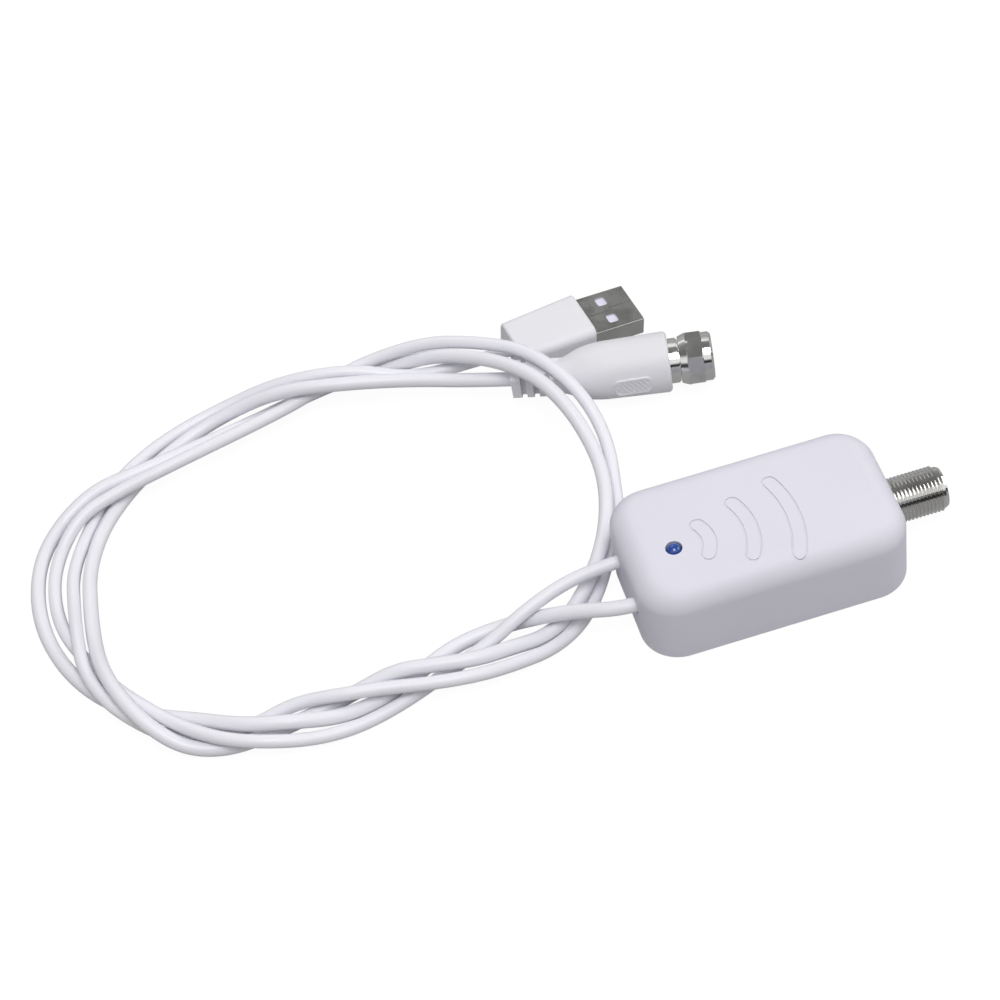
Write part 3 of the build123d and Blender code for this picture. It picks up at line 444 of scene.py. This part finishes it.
def make_socket():
    """The socket's block from the CAD model, with a plain barrel and a thread on it."""
    mesh = bmesh.new()
    mesh.from_mesh(nodes["aerial_socket"].data)
    bmesh.ops.remove_doubles(mesh, verts=mesh.verts, dist=mm(weld_distance))
    bmesh.ops.bisect_plane(
        mesh, geom=[*mesh.verts, *mesh.edges, *mesh.faces], plane_co=mm(barrel_start, 0, 0),
        plane_no=(1, 0, 0), clear_outer=True)
    bmesh.ops.bridge_loops(mesh, edges=[edge for edge in mesh.edges if edge.is_boundary])
    outline = [
        (barrel_start, socket_bore), (barrel_start, socket_root),
        (socket_front - lead_in, socket_root), (socket_front, socket_root - lead_in / 2),
        (socket_front, socket_bore + lead_in / 2), (socket_front - lead_in / 2, socket_bore),
    ]
    axis_point = Vector(mm(0, 0, socket_height))
    ring = [mesh.verts.new(axis_point + Vector(mm(x, 0, r))) for x, r in outline]
    sides = [mesh.edges.new((ring[i - 1], ring[i])) for i in range(len(ring))]
    bmesh.ops.spin(
        mesh, geom=[*ring, *sides], cent=axis_point, axis=(1, 0, 0), angle=2 * pi,
        steps=round_steps, use_merge=True)
    add_thread(
        mesh, mm(barrel_start + thread_sink, 0, socket_height), (1, 0, 0),
        socket_front - lead_in - barrel_start, socket_root - thread_sink, socket_crest)
    bmesh.ops.recalc_face_normals(mesh, faces=mesh.faces)
    return finish_mesh("threaded_socket", mesh)


threaded_socket = make_socket()
threaded_socket.data.materials.append(finishes["nickel"])
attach(threaded_socket, "amplifier")
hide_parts("aerial_socket")
print("socket faces:", len(threaded_socket.data.polygons))

# %% The thread inside the coupling nut
plug_yaw = radians(-11.5)
plug_place, plug_ahead = Vector(mm(-1.0, 55.0, 6.95)), Vector((cos(plug_yaw), sin(plug_yaw), 0))
nut_bore, nut_thread_crest, nut_thread_start, nut_thread_reach = 4.35, 4.0, 4.4, 4.6

mesh = bmesh.new()
add_thread(
    mesh, on_axis(plug_place, plug_ahead, mm(nut_thread_start)), plug_ahead, nut_thread_reach,
    nut_bore + thread_sink, nut_thread_crest)
bmesh.ops.recalc_face_normals(mesh, faces=mesh.faces)
nut_thread = finish_mesh("nut_thread", mesh)
nut_thread.data.materials.append(finishes["nickel_turned"])
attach(nut_thread, "nut")
print("nut thread faces:", len(nut_thread.data.polygons))

# %% [markdown]
# ## The floor and the light
# The floor is pale and plain. Seen by the camera or in a reflection it gives off part of its
# own white, so that the background is even while the object's shadow stays. The sky is
# bright overhead and dims towards the horizon, as in a studio tent. Reflections see another
# sky, with dark and light bands from front to back, as the cards around a product give
# bright metal its contrast. One large lamp hangs high above and a little in front, so that
# the rounded edges stay light and only the steep near side falls into soft shade. A weak
# lamp behind draws the far edges, and one at the right lifts the socket's end of the case.

# %% Build the floor
glow_share, glow_seen, glow_mirrored = 0.86, 1.10, 0.35
floor_half, floor_drop = 3.0, 0.02
floor_grey, floor_roughness = 0.55, 0.7
floor_mesh = bmesh.new()
bmesh.ops.create_grid(floor_mesh, x_segments=1, y_segments=1, size=floor_half)
floor = finish_mesh("floor", floor_mesh)
floor.data.transform(Matrix.Translation(mm(0, 0, -floor_drop)))

floor_finish = bpy.data.materials.new("floor_white")
floor_finish.use_nodes = True
tree = floor_finish.node_tree
shader = tree.nodes["Principled BSDF"]
shader.inputs["Base Color"].default_value = (floor_grey, floor_grey, floor_grey, 1)
shader.inputs["Roughness"].default_value = floor_roughness
glow = tree.nodes.new("ShaderNodeEmission")
blend = tree.nodes.new("ShaderNodeMixShader")
path = tree.nodes.new("ShaderNodeLightPath")
seen = tree.nodes.new("ShaderNodeMath")
seen.operation = "MAXIMUM"
share = tree.nodes.new("ShaderNodeMath")
share.operation = "MULTIPLY"
share.inputs[1].default_value = glow_share
tree.links.new(path.outputs["Is Camera Ray"], seen.inputs[0])
tree.links.new(path.outputs["Is Glossy Ray"], seen.inputs[1])
tree.links.new(seen.outputs["Value"], share.inputs[0])
tree.links.new(share.outputs["Value"], blend.inputs["Fac"])
brightness = tree.nodes.new("ShaderNodeMath")
brightness.operation = "MULTIPLY_ADD"
brightness.inputs[1].default_value = glow_seen - glow_mirrored
brightness.inputs[2].default_value = glow_mirrored
tree.links.new(path.outputs["Is Camera Ray"], brightness.inputs[0])
tree.links.new(brightness.outputs["Value"], glow.inputs["Strength"])
tree.links.new(shader.outputs["BSDF"], blend.inputs[1])
tree.links.new(glow.outputs["Emission"], blend.inputs[2])
tree.links.new(blend.outputs["Shader"], tree.nodes["Material Output"].inputs["Surface"])
floor.data.materials.append(floor_finish)

# %% Light the sky
sky_strength = 0.6
world = bpy.data.worlds.new("studio")
scene.world = world
world.use_nodes = True
tree = world.node_tree
sky = tree.nodes["Background"]
where = tree.nodes.new("ShaderNodeTexCoord")
parts = tree.nodes.new("ShaderNodeSeparateXYZ")
tree.links.new(where.outputs["Generated"], parts.inputs["Vector"])


def grey_ramp(value, stops):
    """A smooth ramp of greys: each stop is a position and a brightness."""
    ramp = tree.nodes.new("ShaderNodeValToRGB")
    ramp.color_ramp.interpolation = "EASE"
    while len(ramp.color_ramp.elements) < len(stops):
        ramp.color_ramp.elements.new(0.5)
    for element, (position, grey) in zip(ramp.color_ramp.elements, stops):
        element.position, element.color = position, (grey, grey, grey, 1)
    tree.links.new(value, ramp.inputs["Fac"])
    return ramp.outputs["Color"]


def add_math(operation, first, second):
    """A math node on two sockets or numbers."""
    node = tree.nodes.new("ShaderNodeMath")
    node.operation = operation
    for socket, value in zip(node.inputs, (first, second)):
        if isinstance(value, (int, float)):
            socket.default_value = value
        else:
            tree.links.new(value, socket)
    return node.outputs["Value"]


tent = grey_ramp(parts.outputs["Z"], [(0.0, 0.10), (0.9, 0.95)])
towards_front = add_math("MULTIPLY", parts.outputs["Y"], -1.0)
around = add_math("ARCTAN2", parts.outputs["Z"], towards_front)
cards = grey_ramp(add_math("DIVIDE", around, pi), [
    (0.0, 0.05), (0.13, 0.03), (0.20, 1.00), (0.34, 0.90), (0.44, 0.16), (0.80, 0.26), (0.95, 0.50)])
tree.links.new(tent, sky.inputs["Color"])
sky.inputs["Strength"].default_value = sky_strength
mirrored = tree.nodes.new("ShaderNodeBackground")
tree.links.new(cards, mirrored.inputs["Color"])
path = tree.nodes.new("ShaderNodeLightPath")
blend = tree.nodes.new("ShaderNodeMixShader")
tree.links.new(path.outputs["Is Glossy Ray"], blend.inputs["Fac"])
tree.links.new(sky.outputs["Background"], blend.inputs[1])
tree.links.new(mirrored.outputs["Background"], blend.inputs[2])
tree.links.new(blend.outputs["Shader"], tree.nodes["World Output"].inputs["Surface"])


# %% Hang the lamps
lamp_target = Vector((-0.05, 0.03, 0))


def hang_lamp(name, position, size, power):
    """A square soft lamp at a position, facing the middle of the object."""
    data = bpy.data.lights.new(name, "AREA")
    data.energy, data.size = power, size
    lamp = bpy.data.objects.new(name, data)
    scene.collection.objects.link(lamp)
    aim_at = lamp_target - Vector(position)
    turn = aim_at.to_track_quat("-Z", "Y").to_matrix().to_4x4()
    lamp.matrix_world = Matrix.Translation(position) @ turn


hang_lamp("key", (-0.05, -0.34, 1.10), 0.6, 6.9)
hang_lamp("rim", (-0.10, 0.80, 0.70), 0.6, 1.2)
hang_lamp("side", (0.85, 0.10, 0.45), 0.5, 2.2)
